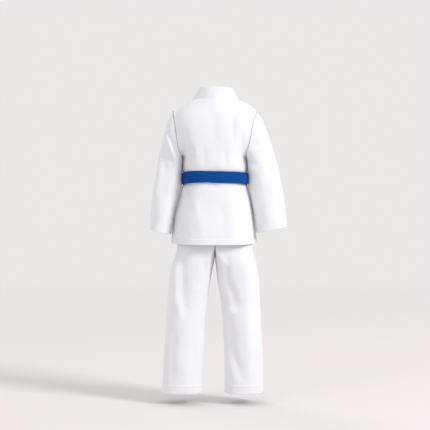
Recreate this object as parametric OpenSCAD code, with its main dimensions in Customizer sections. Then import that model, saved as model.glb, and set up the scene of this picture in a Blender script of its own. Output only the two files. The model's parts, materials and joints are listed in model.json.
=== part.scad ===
// Martial arts uniform: a crossover jacket, a double wrapped belt and drawstring trousers,
// shaped as they hang on a standing wearer.
// Origin at the middle of the wearer's waist, +Z up, front towards -Y, wearer's left towards +X.

/* [Cloth] */
// Thickness of a single layer of cloth
cloth = 1.6; // [1.2:0.1:2]
// How far a sewn band stands out from the cloth it is sewn on
band_relief = 1.6; // [0.8:0.2:1.8]
// Gap between panels that are sewn together
seam_gap = 0.3; // [0.2:0.1:0.5]
// Gap between the collar band and the panels that it is sewn on
band_gap = 1.4; // [1.2:0.1:1.8]
// Clearance between a turning sleeve or leg and the piece above it
turn_gap = 1.2; // [1.2:0.1:2]
// Further clearance of a sleeve round the shoulder cap
cap_clearance = 1.2; // [1:0.1:1.5]

/* [Jacket] */
// Height of the jacket's hem
hem_z = -206; // [-212:1:-200]
// Height where the chest starts to round over towards the shoulders
chest_z = 122; // [118:1:126]
// Height of the lowest point of the armhole
armpit_z = 63; // [61:1:66]
// Half the front to back size of the armhole
armhole_half_depth = 50; // [44:1:54]
// Width of the collar and lapel band
collar_w = 44; // [38:1:46]
// Half the width of the neck opening at the foot of the collar
neck_half_w = 72; // [68:1:74]
// How far the right front lies inside the left front
overlap_inset = 7; // [6:0.5:8]
// Height of the top of the side vents
vent_z = -110; // [-130:5:-100]

/* [Sleeves] */
// Height of the elbow fold
elbow_z = -20; // [-25:1:-15]
// Radius of the space that the elbow fold turns in
elbow_r = 46; // [45:0.5:48]
// Height of the cuff edge
cuff_z = -170; // [-180:1:-160]
// Depth of the stitched cuff hem
cuff_h = 22; // [15:1:30]

/* [Belt] */
// Width of the belt
belt_w = 35; // [30:1:38]
// Thickness of the belt
belt_t = 2.2; // [1.8:0.1:2.4]
// Height of the belt's middle at the wearer's sides
belt_z = -3; // [-5:0.5:-1]
// How far the belt's middle rises at the back and drops at the front
belt_tilt = 5.5; // [0:0.5:6]
// Width of the knot
knot_w = 44; // [38:1:50]
// Lowest point of the hanging belt ends
belt_end_z = -204; // [-205:1:-150]

/* [Trousers] */
// Height of the top of the waistband
waist_z = 10; // [0:1:12]
// Depth of the waistband
waistband_h = 38; // [30:1:42]
// Height of the hip fold
hip_z = -225; // [-228:1:-222]
// Radius of the space that the hip fold turns in, at the middle of the wearer
hip_r = 76; // [74:0.5:77]
// Height of the knee fold
knee_z = -400; // [-410:1:-390]
// Radius of the space that the knee fold turns in
knee_r = 74; // [72:0.5:76]
// Height of the trouser hem
leg_hem_z = -680; // [-700:1:-640]
// Depth of the stitched trouser hem
leg_hem_h = 28; // [20:1:35]
// Half the gap between the two legs at the crotch
crotch_gap = 1.5; // [1:0.1:2]

/* [Hidden] */

white_cloth = "#f3f3f7";
white_band = "#e9e9f0";
blue_belt = "#1c56a6";
dark_blue_belt = "#133f80";
metal = "#c9ccd1";

// Roundness of level sections: 2 is an ellipse, and more is squarer.
section_round = 2.4;
// Roundness of the shoulders, seen from the side.
shoulder_round = 2.3;

// Shoulder fold: the axis that a sleeve turns on, and the radius of the cap left on the jacket.
shoulder_x = 120;
shoulder_z = 197;
cap_r = 35;
cap_x = 151;
cap_z = 181;

// Half width of the jacket's side seam and armhole seam at each height.
jacket_side = [
    [-206, 130], [-120, 120], [-60, 111], [-28, 97], [-22, 96], [22, 96], [36, 103], [63, 105],
    [107, 118], [162, 123.6]
];
// Half depth of the jacket at each height.
jacket_depth = [
    [-206, 94], [-120, 87], [-60, 79], [-30, 74], [22, 74], [36, 80], [60, 84], [122, 84]
];
// Height of the shoulder's outline at each distance from the middle.
shoulder_line = [[0, 266], [72, 246], [94, 236], [129, 222], [144, 197], [151, 181]];
// Where the band is sewn to a front edge, at each height, measured towards the front's own side.
band_seam = [[-206, -36], [0, -14], [60, 12], [122, 36], [200, 58], [246, 72]];
// Share of the jacket's rows that lie below the chest line.
chest_share = 0.62;

// Sleeves: [outer, inner] distances from the middle at the elbow and at the cuff, and half depths.
left_sleeve = [[187, 107.5], [209, 141], 35, 40];
right_sleeve = [[196, 107.5], [225, 134], 35, 42];
elbow_y = -1;

// Trousers: half width and half depth at each height, above the legs.
hip_side = [[-200, 123], [-140, 118], [-100, 108], [-40, 93], [10, 87]];
hip_depth = [[-225, 68], [-100, 68], [10, 60]];
// Legs: distance of the outer and inner edges from the middle, and half depth, at each height.
left_leg_outer = [[-680, 164], [-618, 162], [-492, 153], [-365, 144], [-256, 135], [-235, 127], [-206, 123], [-143, 118]];
left_leg_inner = [[-680, 40], [-582, 37], [-455, 29], [-365, 20], [-318, 14], [-250, 1.5]];
right_leg_outer = [[-680, 153], [-546, 152], [-400, 143], [-256, 134], [-235, 127], [-206, 123], [-143, 118]];
right_leg_inner = [[-680, 31], [-546, 29], [-437, 24], [-383, 19], [-322, 7], [-250, 1.5]];
leg_depth = [[-680, 48], [-400, 55], [-300, 64], [-225, 68]];
knee_y = 1;
// Distance from the middle at which the hip fold comes to a point.
hip_fold_w = 128;

// Outer tie: height of its middle, width and thickness.
tie_z = -62;
tie_w = 13;
tie_t = 1.8;
tie_gap = 1.1;

function lerp(a, b, t) = a + (b - a) * t;
function clamp01(t) = min(1, max(0, t));
function signed_pow(base, power) = sign(base) * pow(abs(base), power);
function blend3(a, b, t) = [for (i = [0:2]) lerp(a[i], b[i], t)];

// Angle around a section, as the share of the half width and half depth that it reaches.
function reach_x(angle) = signed_pow(sin(angle), 2 / section_round);
function reach_y(angle) = signed_pow(cos(angle), 2 / section_round);
function angle_at(share) = asin(signed_pow(max(-1, min(1, share)), section_round / 2));

// Closed wall between a surface and the same surface set inward.
// point(u, v, inset) gives the surface for u and v from 0 to 1.
module wall(point, columns, rows, outset = 0, inset = cloth, closed = false) {
    across = closed ? columns : columns + 1;
    side_size = across * (rows + 1);
    points = [
        for (depth = [-outset, inset]) for (j = [0:rows]) for (i = [0:across - 1])
            point(i / columns, j / rows, depth)
    ];
    function id(i, j, side) = side * side_size + j * across + i % across;
    function two(a, b, c, d) = [[a, b, c], [a, c, d]];
    skins = [
        for (j = [0:rows - 1]) for (i = [0:columns - 1]) each concat(
            two(id(i, j, 0), id(i, j + 1, 0), id(i + 1, j + 1, 0), id(i + 1, j, 0)),
            two(id(i, j, 1), id(i + 1, j, 1), id(i + 1, j + 1, 1), id(i, j + 1, 1)))
    ];
    rims = [
        for (i = [0:columns - 1]) each concat(
            two(id(i, 0, 0), id(i + 1, 0, 0), id(i + 1, 0, 1), id(i, 0, 1)),
            two(id(i, rows, 0), id(i, rows, 1), id(i + 1, rows, 1), id(i + 1, rows, 0)))
    ];
    ends = closed ? [] : [
        for (j = [0:rows - 1]) each concat(
            two(id(0, j, 0), id(0, j, 1), id(0, j + 1, 1), id(0, j + 1, 0)),
            two(id(columns, j, 0), id(columns, j + 1, 0), id(columns, j + 1, 1), id(columns, j, 1)))
    ];
    polyhedron(points, concat(skins, rims, ends), convexity = 6);
}

// ---- Jacket body. Its functions describe the side towards +Y; the fronts are mirrored. ----

function cap_edge_x(z, r) = shoulder_x + sqrt(max(0, r * r - pow(z - shoulder_z, 2)));
// The jacket's outer edge: side seam, armhole seam, then the round shoulder cap.
function edge_x(z) = z < 162 ? lookup(z, jacket_side) : cap_edge_x(z, cap_r);
function armhole_depth(z) =
    let (middle = (armpit_z + cap_z) / 2, half = (cap_z - armpit_z) / 2,
         share = clamp01(abs(z - middle) / half))
    z <= armpit_z ? 0 : armhole_half_depth * pow(1 - pow(share, shoulder_round), 1 / shoulder_round);

// Point of the jacket. side runs from -1 to 1 between its edges, level from 0 at the hem to 1.
function jacket_point(side, level, inset, top_angle = 90) =
    let (over_chest = level > chest_share,
         angle = over_chest ? top_angle * (level - chest_share) / (1 - chest_share) : 0,
         rise = signed_pow(sin(angle), 2 / shoulder_round),
         fall = signed_pow(cos(angle), 2 / shoulder_round),
         low_z = lerp(hem_z, chest_z, min(1, level / chest_share)),
         edge_z = over_chest ? chest_z + (cap_z - chest_z) * rise : low_z,
         half_w = edge_x(edge_z) - inset,
         edge_y = max(0, armhole_depth(low_z) - inset),
         middle_y = lookup(low_z, jacket_depth) - inset,
         share_y = pow(max(0, 1 - pow(abs(side), section_round)), 1 / section_round),
         top_z = lookup(abs(side) * cap_x, shoulder_line) - inset)
    [side * half_w, lerp(edge_y, middle_y, share_y) * fall + seam_gap, over_chest ? lerp(chest_z, top_z, rise) : low_z];

// The back stops short of the shoulder ridge behind the neck.
function neck_angle(side) = 60 + 30 * pow(min(1, abs(side) * cap_x / neck_half_w), 2);
function back_point(side, level, inset) = jacket_point(side, level, inset, neck_angle(side));

module jacket_back() {
    color(white_cloth)
    wall(function(u, v, inset) back_point(reach_x(lerp(90, -90, u)), v, inset), 22, 18);
}

// Height that a level of the jacket has beside the neck, which sets where the band is sewn.
function level_z(level) = jacket_point(neck_half_w / cap_x, level, 0)[2];
function band_side(level) =
    let (z = level_z(level), edge_z = jacket_point(1, level, 0)[2])
    lookup(z, band_seam) / edge_x(edge_z);
// The right front lies inside the left one, except near its own side and shoulder.
function tuck(side, level) =
    overlap_inset * clamp01((0.92 - side) * 4) * clamp01((1 - level) / (1 - chest_share) * 2.2 - 0.2);

module jacket_front(under) {
    wall(function(u, v, inset)
        let (side = reach_x(lerp(90, angle_at(band_side(v)), u)))
        jacket_point(side, v, inset + under * tuck(side, v)), 12, 18);
}

// Collar band beside and in front of the neck: upright at the shoulder, flat on the chest.
function band_point(u, v, inset, under) =
    let (turn = clamp01((v - chest_share) / (1 - chest_share)),
         z = level_z(v),
         lean = v > chest_share ? lerp(25, 60.6, turn) : lookup(z, [[0, 0], [chest_z, 25]]),
         side = band_side(v) - band_gap / 100,
         seam = jacket_point(side, v, under * tuck(side, v)),
         flat_side = side - collar_w * u * cos(lean) / edge_x(min(z, 160)),
         flat_y = jacket_point(flat_side, v, under * tuck(side, v))[1],
         upright_y = seam[1] - 5 * sin(90 * turn) * u,
         out = [0.87 * turn, 1 - turn, 0.49 * turn])
    [seam[0] - collar_w * u * cos(lean), lerp(flat_y, upright_y, turn), seam[2] + collar_w * u * sin(lean)]
        - inset * out / norm(out);

module lapel(under) {
    wall(function(u, v, inset) band_point(u, v, inset, under), 3, 18, outset = band_relief, inset = 2);
}

module collar_back() {
    top_x = neck_half_w - collar_w * cos(60.6);
    top_z = 246 + collar_w * sin(60.6);
    color(white_band)
    wall(function(u, v, inset)
        let (turn = 180 * u,
             foot = back_point(cos(turn) * neck_half_w / cap_x, 1, 0) + [0, 0, 2 * band_gap],
             head = [top_x * cos(turn), 5.3 + 30 * sin(turn), top_z + 1.5 * sin(turn)],
             out = [0.87 * cos(turn), sin(turn), 0.49])
        blend3(foot, head, v) - inset * out, 20, 3, outset = band_relief, inset = 2);
}

// Three cornered patch that strengthens the top of a side vent.
module vent_patch() {
    color(white_band)
    wall(function(u, v, inset)
        let (z = vent_z + 20 * (v - 0.5), half = lerp(11, 3, v))
        [lookup(z, jacket_side) + 1.6 - inset, lerp(-half, half, u), z], 3, 2, inset = 1.2);
}

// Flat tie lying on the right front, between two shares of its width.
module outer_tie(from_side, to_side) {
    color(white_band)
    wall(function(u, v, inset)
        let (z = tie_z + tie_w * (v - 0.5), level = chest_share * (z - hem_z) / (chest_z - hem_z),
             side = lerp(to_side, from_side, u))
        jacket_point(side, level, inset + tuck(side, level) - tie_t - tie_gap), 5, 1, inset = tie_t);
}

module outer_tie_bow() {
    color(white_band)
    translate([-98, -64, tie_z]) rotate([0, 0, -42]) {
        hull() for (x = [-3.5, 3.5], z = [-4, 4]) translate([x, 0, z]) sphere(3.4, $fn = 12);
        for (turn = [-1, 1]) {
            hull() {
                translate([turn * 6, -0.5, 0]) sphere(2.6, $fn = 12);
                translate([turn * 21, -0.5, -5]) scale([1, 0.45, 1.2]) sphere(6, $fn = 16);
            }
            hull() {
                translate([turn * 2.5, -0.5, -6]) sphere(2.2, $fn = 12);
                translate([turn * 12, 0.5, -42]) scale([1, 0.25, 0.6]) sphere(6, $fn = 16);
            }
        }
    }
}

// ---- Sleeves. Each is made for the wearer's left side and mirrored for the right. ----

// The armhole ring: on the seam below, and round the shoulder cap above.
function armhole_ring(angle, inset) =
    let (middle = (armpit_z + cap_z) / 2, half = (cap_z - armpit_z) / 2,
         z = middle + (half - inset) * signed_pow(cos(angle), 2 / shoulder_round))
    [max(z < 162 ? lookup(z, jacket_side) + turn_gap : 0, cap_edge_x(z, cap_r + turn_gap + cap_clearance)),
     (armhole_half_depth - inset) * signed_pow(sin(angle), 2 / shoulder_round), z];
function sleeve_ring(edges, half_depth, angle, inset) =
    [lerp(edges[1], edges[0], 0.5) + ((edges[0] - edges[1]) / 2 - inset) * reach_y(angle),
     (half_depth - inset) * reach_x(angle)];
// Height on the round elbow fold above a point that lies y from the middle.
function fold_z(y, axis_y, axis_z, r) = axis_z + sqrt(max(0, r * r - pow(y - axis_y, 2)));

module sleeve_upper(sleeve) {
    wall(function(u, v, inset)
        let (angle = -360 * u, start = armhole_ring(angle, inset),
             ring = sleeve_ring(sleeve[0], sleeve[2], angle, inset),
             end = [ring[0], ring[1], fold_z(ring[1], elbow_y, elbow_z, elbow_r + turn_gap)])
        blend3(end, start, v), 28, 5, closed = true);
}

// Point of the lower sleeve, v from 0 at the elbow fold to 1 at the cuff edge.
function lower_sleeve_point(sleeve, angle, v, inset, low_v) =
    let (top = sleeve_ring(sleeve[0], sleeve[2], angle, inset),
         bottom = sleeve_ring(sleeve[1], sleeve[3], angle, inset),
         start = [top[0], top[1], fold_z(top[1], elbow_y, elbow_z, elbow_r)],
         end = [bottom[0], bottom[1], cuff_z + 5 * reach_y(angle)])
    blend3(start, end, lerp(low_v, 0, v));
cuff_share = 1 - cuff_h / (elbow_z + elbow_r - cuff_z);

module sleeve_lower(sleeve) {
    wall(function(u, v, inset)
        lower_sleeve_point(sleeve, -360 * u, v, inset, cuff_share), 28, 5, closed = true);
}

module cuff(sleeve) {
    wall(function(u, v, inset)
        lower_sleeve_point(sleeve, -360 * u, 0, inset, lerp(1, cuff_share + 0.002, v)),
        28, 1, outset = 0.6, inset = cloth + 0.6, closed = true);
}

// ---- Belt ----

// One turn of the belt round the jacket, lying proud of it by the given amount.
module belt_wrap(proud) {
    wall(function(u, v, inset)
        let (turn = 360 * u, half_w = 96 + proud - inset, half_d = 74 + proud - inset,
             y = half_d * reach_x(turn))
        [half_w * reach_y(turn), y, belt_z + belt_tilt * y / 77 + belt_w * (v - 0.5)],
        56, 1, inset = belt_t, closed = true);
}
inner_wrap_proud = 3.4 + belt_t;
outer_wrap_proud = inner_wrap_proud + belt_t + 0.5;
belt_front_y = -(74 + outer_wrap_proud);
knot_z = belt_z - belt_tilt;
knot_top_z = knot_z + 18;
knot_low_z = knot_z - 18;
tail_top_z = knot_low_z - 3.7;
tail_hinge_y = belt_front_y - 10;

// Flat knot: two crossed turns of the belt, pulled tight.
module belt_knot() {
    color(blue_belt)
    translate([0, belt_front_y - 0.4, knot_z]) {
        for (turn = [-1, 1])
            hull() for (side = [-1, 1], level = [-1, 1])
                translate([side * (knot_w / 2 - 5), -5 - 1.5 * turn, side * turn * 6 + level * 7])
                    rotate([90, 0, 0]) cylinder(h = 6.5, r1 = 5, r2 = 3, center = true, $fn = 24);
        hull() for (level = [-1, 1])
            translate([0, -12, level * 12]) rotate([90, 0, 0])
                cylinder(h = 8, r1 = 6, r2 = 5, center = true, $fn = 24);
    }
}

// Hanging belt end, leaning outwards from the knot over the jacket's skirt.
module belt_end() {
    wall(function(u, v, inset)
        let (z = lerp(belt_end_z, tail_top_z, v), drop = (tail_top_z - z),
             middle = 18.6 + drop * tan(8))
        [middle + belt_w * (u - 0.5), tail_hinge_y - 2.3 - 0.034 * drop + inset - 3 * pow(sin(90 * (1 - v)), 2), z],
        4, 10, inset = 2 * belt_t);
}

// ---- Trousers ----

// Radius of the hip fold at a distance from the middle: it rounds off inside the jacket's skirt.
function hip_fold_r(x) = hip_r * pow(1 - pow(min(1, abs(x) / hip_fold_w), 3), 1 / 3);

function hip_point(angle, z, inset) =
    [(lookup(z, hip_side) - inset) * reach_y(angle), (lookup(z, hip_depth) - inset) * reach_x(angle), z];

module trousers_waistband() {
    color(white_band)
    wall(function(u, v, inset) hip_point(360 * u, waist_z - waistband_h * (1 - v), inset),
        40, 2, inset = 3, closed = true);
}

module trousers_seat() {
    color(white_cloth)
    wall(function(u, v, inset)
        let (rim = hip_point(360 * u, hip_z, inset),
             low_z = fold_z(rim[1], 0, hip_z, hip_fold_r(rim[0]) + turn_gap),
             top_z = waist_z - waistband_h - seam_gap)
        hip_point(360 * u, lerp(low_z, top_z, v), inset), 40, 7, closed = true);
}

// Eyelet in the front of the waistband, where the drawstring comes out.
module eyelet() {
    color(metal)
    translate([0, -62.4, -6]) rotate([90, 0, 0])
    rotate_extrude($fn = 32) translate([2.9, 0]) circle(1.1, $fn = 16);
}

function leg_ring(leg, angle, z, inset) =
    let (outer = lookup(z, leg[0]), inner = max(crotch_gap, lookup(z, leg[1])))
    [(outer + inner) / 2 + ((outer - inner) / 2 - inset) * reach_y(angle),
     (lookup(z, leg_depth) - inset) * reach_x(angle), z];
left_leg = [left_leg_outer, left_leg_inner];
right_leg = [right_leg_outer, right_leg_inner];

module leg_upper(leg) {
    wall(function(u, v, inset)
        let (angle = 360 * u,
             hip_ring = leg_ring(leg, angle, hip_z, inset),
             hip_y = hip_ring[1],
             knee_side_y = leg_ring(leg, angle, knee_z, inset)[1],
             top_z = fold_z(hip_y, 0, hip_z, hip_fold_r(hip_ring[0])),
             low_z = fold_z(knee_side_y, knee_y, knee_z, knee_r + turn_gap),
             z = lerp(low_z, top_z, v),
             y = lerp(knee_side_y, hip_y, clamp01((z - low_z) / (hip_z - low_z))))
        [leg_ring(leg, angle, z, inset)[0], y, z], 28, 8, closed = true);
}

module leg_lower(leg) {
    wall(function(u, v, inset)
        let (angle = 360 * u,
             knee_side_y = leg_ring(leg, angle, knee_z, inset)[1],
             top_z = fold_z(knee_side_y, knee_y, knee_z, knee_r),
             low_z = leg_hem_z + leg_hem_h + seam_gap,
             z = lerp(low_z, top_z, v))
        [leg_ring(leg, angle, z, inset)[0], z > knee_z ? knee_side_y : leg_ring(leg, angle, z, inset)[1], z],
        28, 8, closed = true);
}

module leg_hem(leg) {
    wall(function(u, v, inset) leg_ring(leg, 360 * u, leg_hem_z + leg_hem_h * v, inset),
        28, 1, outset = 0.6, inset = cloth + 0.6, closed = true);
}

// ---- The named pieces ----

module jacket_front_left() { color(white_cloth) mirror([0, 1, 0]) jacket_front(0); }
module jacket_front_right() { color(white_cloth) mirror([1, 0, 0]) mirror([0, 1, 0]) jacket_front(1); }
module lapel_left() { color(white_band) mirror([0, 1, 0]) lapel(0); }
module lapel_right() { color(white_band) mirror([1, 0, 0]) mirror([0, 1, 0]) lapel(1); }
module vent_patch_left() { vent_patch(); }
module vent_patch_right() { mirror([1, 0, 0]) vent_patch(); }
module outer_tie_front() { mirror([1, 0, 0]) mirror([0, 1, 0]) outer_tie(0.64, 0.86); }
module outer_tie_side() { mirror([1, 0, 0]) mirror([0, 1, 0]) outer_tie(0.885, 0.995); }
module sleeve_left_upper() { color(white_cloth) sleeve_upper(left_sleeve); }
module sleeve_left_lower() { color(white_cloth) sleeve_lower(left_sleeve); }
module cuff_left() { color(white_band) cuff(left_sleeve); }
module sleeve_right_upper() { color(white_cloth) mirror([1, 0, 0]) sleeve_upper(right_sleeve); }
module sleeve_right_lower() { color(white_cloth) mirror([1, 0, 0]) sleeve_lower(right_sleeve); }
module cuff_right() { color(white_band) mirror([1, 0, 0]) cuff(right_sleeve); }
module belt_wrap_inner() { color(dark_blue_belt) belt_wrap(inner_wrap_proud); }
module belt_wrap_outer() { color(blue_belt) belt_wrap(outer_wrap_proud); }
module belt_end_left() { color(blue_belt) belt_end(); }
module belt_end_right() { color(blue_belt) mirror([1, 0, 0]) belt_end(); }
module eyelet_left() { translate([14, 0, 0]) eyelet(); }
module eyelet_right() { translate([-14, 0, 0]) eyelet(); }
module leg_left_upper() { color(white_cloth) leg_upper(left_leg); }
module leg_left_lower() { color(white_cloth) leg_lower(left_leg); }
module leg_left_hem() { color(white_band) leg_hem(left_leg); }
module leg_right_upper() { color(white_cloth) mirror([1, 0, 0]) leg_upper(right_leg); }
module leg_right_lower() { color(white_cloth) mirror([1, 0, 0]) leg_lower(right_leg); }
module leg_right_hem() { color(white_band) mirror([1, 0, 0]) leg_hem(right_leg); }

jacket_back();
jacket_front_left();
jacket_front_right();
collar_back();
lapel_left();
lapel_right();
vent_patch_left();
vent_patch_right();
outer_tie_front();
outer_tie_side();
outer_tie_bow();
sleeve_left_upper();
sleeve_left_lower();
cuff_left();
sleeve_right_upper();
sleeve_right_lower();
cuff_right();
belt_wrap_inner();
belt_wrap_outer();
belt_knot();
belt_end_left();
belt_end_right();
trousers_waistband();
trousers_seat();
eyelet_left();
eyelet_right();
leg_left_upper();
leg_left_lower();
leg_left_hem();
leg_right_upper();
leg_right_lower();
leg_right_hem();
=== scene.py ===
import json
import math
from functools import partial

import bpy
import numpy as np
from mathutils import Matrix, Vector
from mathutils.bvhtree import BVHTree

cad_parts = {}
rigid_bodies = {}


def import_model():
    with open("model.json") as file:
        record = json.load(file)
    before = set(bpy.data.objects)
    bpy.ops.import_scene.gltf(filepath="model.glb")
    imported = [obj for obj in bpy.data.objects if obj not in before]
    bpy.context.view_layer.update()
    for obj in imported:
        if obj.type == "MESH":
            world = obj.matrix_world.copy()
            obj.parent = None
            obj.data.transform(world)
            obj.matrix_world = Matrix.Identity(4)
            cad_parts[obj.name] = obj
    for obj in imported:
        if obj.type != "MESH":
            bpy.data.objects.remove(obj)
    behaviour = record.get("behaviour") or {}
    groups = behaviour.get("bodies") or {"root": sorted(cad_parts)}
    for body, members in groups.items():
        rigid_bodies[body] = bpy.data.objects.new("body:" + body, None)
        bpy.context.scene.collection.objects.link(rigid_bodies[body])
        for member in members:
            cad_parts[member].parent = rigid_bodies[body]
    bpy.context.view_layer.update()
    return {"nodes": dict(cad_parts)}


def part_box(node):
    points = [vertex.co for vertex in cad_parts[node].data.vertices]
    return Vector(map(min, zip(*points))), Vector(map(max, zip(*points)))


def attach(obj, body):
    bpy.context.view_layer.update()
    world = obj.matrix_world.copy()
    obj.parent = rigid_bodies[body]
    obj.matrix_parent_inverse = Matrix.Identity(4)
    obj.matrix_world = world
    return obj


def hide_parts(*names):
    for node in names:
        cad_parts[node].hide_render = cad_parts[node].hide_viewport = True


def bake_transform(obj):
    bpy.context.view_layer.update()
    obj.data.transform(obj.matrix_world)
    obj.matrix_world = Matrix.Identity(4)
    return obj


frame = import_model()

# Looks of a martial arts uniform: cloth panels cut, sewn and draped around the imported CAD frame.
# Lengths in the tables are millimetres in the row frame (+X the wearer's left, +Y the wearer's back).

MM = 0.001
scene = bpy.context.scene

# ---- shared shape rules

# how square the garments' sections, and the armholes and shoulders, are: 2 is an ellipse
SECTION_ROUND = 2.4
RING_ROUND = 2.3
# share of a polyline's length over which its corners are rounded
CORNER_SHARE = 0.04


def table(x, pairs):
    """Straight-line lookup in ascending (x, value) pairs."""
    return float(np.interp(x, [p[0] for p in pairs], [p[1] for p in pairs]))


def signed_pow(value, power):
    return math.copysign(abs(value) ** power, value)


def clamp(value, low=0.0, high=1.0):
    return max(low, min(high, value))


def smooth(value):
    value = clamp(value)
    return value * value * (3 - 2 * value)


def lerp(a, b, t):
    return a + (b - a) * t


def oval(angle, roundness):
    """Cosine and sine of an angle, pushed out towards the corners of a rounded rectangle."""
    return [signed_pow(wave(angle), 2 / roundness) for wave in (math.cos, math.sin)]


def along(points, share):
    """Point at a share of the length of a polyline, rounded at its corners."""
    points = np.array(points, float)
    lengths = np.r_[0, np.cumsum(np.linalg.norm(np.diff(points, axis=0), axis=1))]
    total = lengths[-1]
    at = share * total
    reach = total * CORNER_SHARE

    def spot(offset):
        return np.array([np.interp(clamp(at + offset, 0, total), lengths, values) for values in points.T])

    here = spot(0)
    ease = min(1, at / reach, (total - at) / reach)
    return lerp(here, (spot(-reach) + here + spot(reach)) / 3, ease)


# ---- jacket shape

HANDS = ((1, "left"), (-1, "right"))
HEM_Z = -206
CHEST_Z = 142
ARMPIT_Z = 63
ARMHOLE_DEPTH = 50
# share of the half width where the neck opening meets the shoulder
NECK_SHARE = 0.55
BAND_W = 44
TUCK = 7
# how suddenly the rows turn to the height of the armhole's edge
EDGE_PULL = 8
# half width at the side seam and armhole seam, for the wearer's left (+1) and right (-1)
EDGE_X = {
    1: [(-206, 137), (-178, 136.5), (-124, 131), (-70, 118.5), (-32, 104.5), (-24, 103.5), (-20.5, 97.5),
        (14, 97.5), (18, 103.5), (30, 104.5), (63, 105), (76, 109), (89, 112), (121, 118), (166, 123),
        (214, 129)],
    -1: [(-206, 131), (-173, 129), (-143, 125.5), (-106, 121), (-64, 113), (-32, 104), (-24, 103.5),
         (-20.5, 97.5), (14, 97.5), (18, 103.5), (30, 103), (63, 100), (85, 102), (125, 108.5), (168, 116),
         (190, 122), (213, 132)],
}
SHOULDER_TIP_Z = {1: 214, -1: 213}
SHOULDER_LINE = {
    1: [(0, 266), (72, 244), (99, 229), (129, 214)],
    -1: [(0, 266), (72, 246), (100, 237), (118, 228), (132, 213)],
}
JACKET_DEPTH = [(-206, 91), (-120, 85), (-60, 79.5), (-28, 78), (-20.5, 73.5), (15, 73.5), (21, 76),
                (28, 80.5), (38, 82.5), (60, 84), (142, 83)]
BAND_SEAM = [(-206, -36), (0, -14), (60, 12), (122, 36), (200, 58), (246, 72)]

# rows of the jacket's grid: below the armpit, beside the armhole up to the chest line, over the shoulder
LOW_ROWS = 30
HOLE_ROWS = 10
DOME_ROWS = 10
ROWS = LOW_ROWS + HOLE_ROWS + DOME_ROWS
SIDE_COLUMNS = 12
NECK_COLUMNS = 16
BACK_COLUMNS = 2 * SIDE_COLUMNS + NECK_COLUMNS
VENT_ROW = 11
RING = 2 * (HOLE_ROWS + DOME_ROWS)
SLEEVE_ROWS = 40
# heights of the rows below the armpit, close together where the belt draws the cloth in
LOW_LEVELS = [(0, HEM_Z), (19, -40), (20, -32), (21, -24), (22, -20.5), (23, -8), (24, 4), (25, 14), (26, 18),
              (27, 26), (28, 38), (LOW_ROWS, ARMPIT_Z)]
# row where the upper and the lower piece of a sleeve's mesh meet
SLEEVE_SPLIT = 11


def ring_angle(row):
    """Angle round the armhole of a jacket row: 180 at the armpit, 0 at the shoulder tip."""
    return math.radians(180 - 180 * (row - LOW_ROWS) / (HOLE_ROWS + DOME_ROWS))


def jacket_point(side, row, top_angle=90.0):
    """Point of the jacket's back; the fronts mirror it in Y. side is -1 to 1 between the edges."""
    hand = 1 if side >= 0 else -1
    tip_z = SHOULDER_TIP_Z[hand]
    turn = max(0, (row - LOW_ROWS - HOLE_ROWS) / DOME_ROWS)
    if row <= LOW_ROWS:
        level = edge_z = table(row, LOW_LEVELS)
        edge_y = 0.0
    else:
        up, back = oval(ring_angle(row), RING_ROUND)
        edge_z = (tip_z + ARMPIT_Z) / 2 + (tip_z - ARMPIT_Z) / 2 * up
        edge_y = ARMHOLE_DEPTH * back
        level = lerp(ARMPIT_Z, CHEST_Z, min(1, (row - LOW_ROWS) / HOLE_ROWS))
    half_w = table(edge_z, EDGE_X[hand])
    fall, rise = oval(math.radians(top_angle * turn), RING_ROUND)
    share_y = max(0.0, 1 - abs(side) ** SECTION_ROUND) ** (1 / SECTION_ROUND)
    inner_z, inner_y = level, edge_y
    if turn:
        top_z = table(abs(side) * table(tip_z, EDGE_X[hand]), SHOULDER_LINE[hand])
        inner_z, inner_y = lerp(CHEST_Z, top_z, rise), ARMHOLE_DEPTH * fall
    near_edge = abs(side) ** EDGE_PULL
    z = lerp(inner_z, edge_z, near_edge)
    y = lerp(lerp(inner_y, table(level, JACKET_DEPTH) * fall, share_y), edge_y, near_edge)
    x = side * lerp(half_w, table(clamp(z, HEM_Z, tip_z), EDGE_X[hand]), 0.5 if turn else 0)
    return np.array([x, y, z])


def reach_x(angle):
    return signed_pow(math.sin(angle), 2 / SECTION_ROUND)


def angle_at(share):
    return math.asin(signed_pow(clamp(share, -1, 1), SECTION_ROUND / 2))


def neck_angle(side):
    return 60 + 30 * min(1, abs(side) / NECK_SHARE) ** 2


def back_side(column):
    """Share of the half width of a column of the back, from 1 at the wearer's left to -1."""
    neck_turn = angle_at(NECK_SHARE)
    if column <= SIDE_COLUMNS:
        return reach_x(lerp(math.pi / 2, neck_turn, column / SIDE_COLUMNS))
    if column >= SIDE_COLUMNS + NECK_COLUMNS:
        return -reach_x(lerp(neck_turn, math.pi / 2, (column - SIDE_COLUMNS - NECK_COLUMNS) / SIDE_COLUMNS))
    return reach_x(lerp(neck_turn, -neck_turn, (column - SIDE_COLUMNS) / NECK_COLUMNS))


def row_height(row):
    return jacket_point(NECK_SHARE, row)[2]


def band_side(row):
    if row >= ROWS:
        return NECK_SHARE
    edge = jacket_point(1, row)
    return table(row_height(row), BAND_SEAM) / edge[0]


def tuck(side, row):
    """How far the right front lies inside the left one."""
    fade = clamp((ROWS - row) / DOME_ROWS * 2.2 - 0.2)
    return TUCK * clamp((0.92 - side) * 4) * fade


def on_front(hand, side, row, spot):
    """A point of the back mirrored to the front, where the right side lies inside the left one."""
    x, y, z = spot
    inset = tuck(side, row) if hand < 0 else 0
    return np.array([x, -(y - inset * smooth(1.2 - abs(side))), z])


def front_point(hand, share, row):
    """Point of a front: share is 0 at its side edge and 1 where the band is sewn on."""
    side = reach_x(lerp(math.pi / 2, angle_at(band_side(row)), share))
    return on_front(hand, side, row, jacket_point(side * hand, row))


# ---- sleeves

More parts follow.
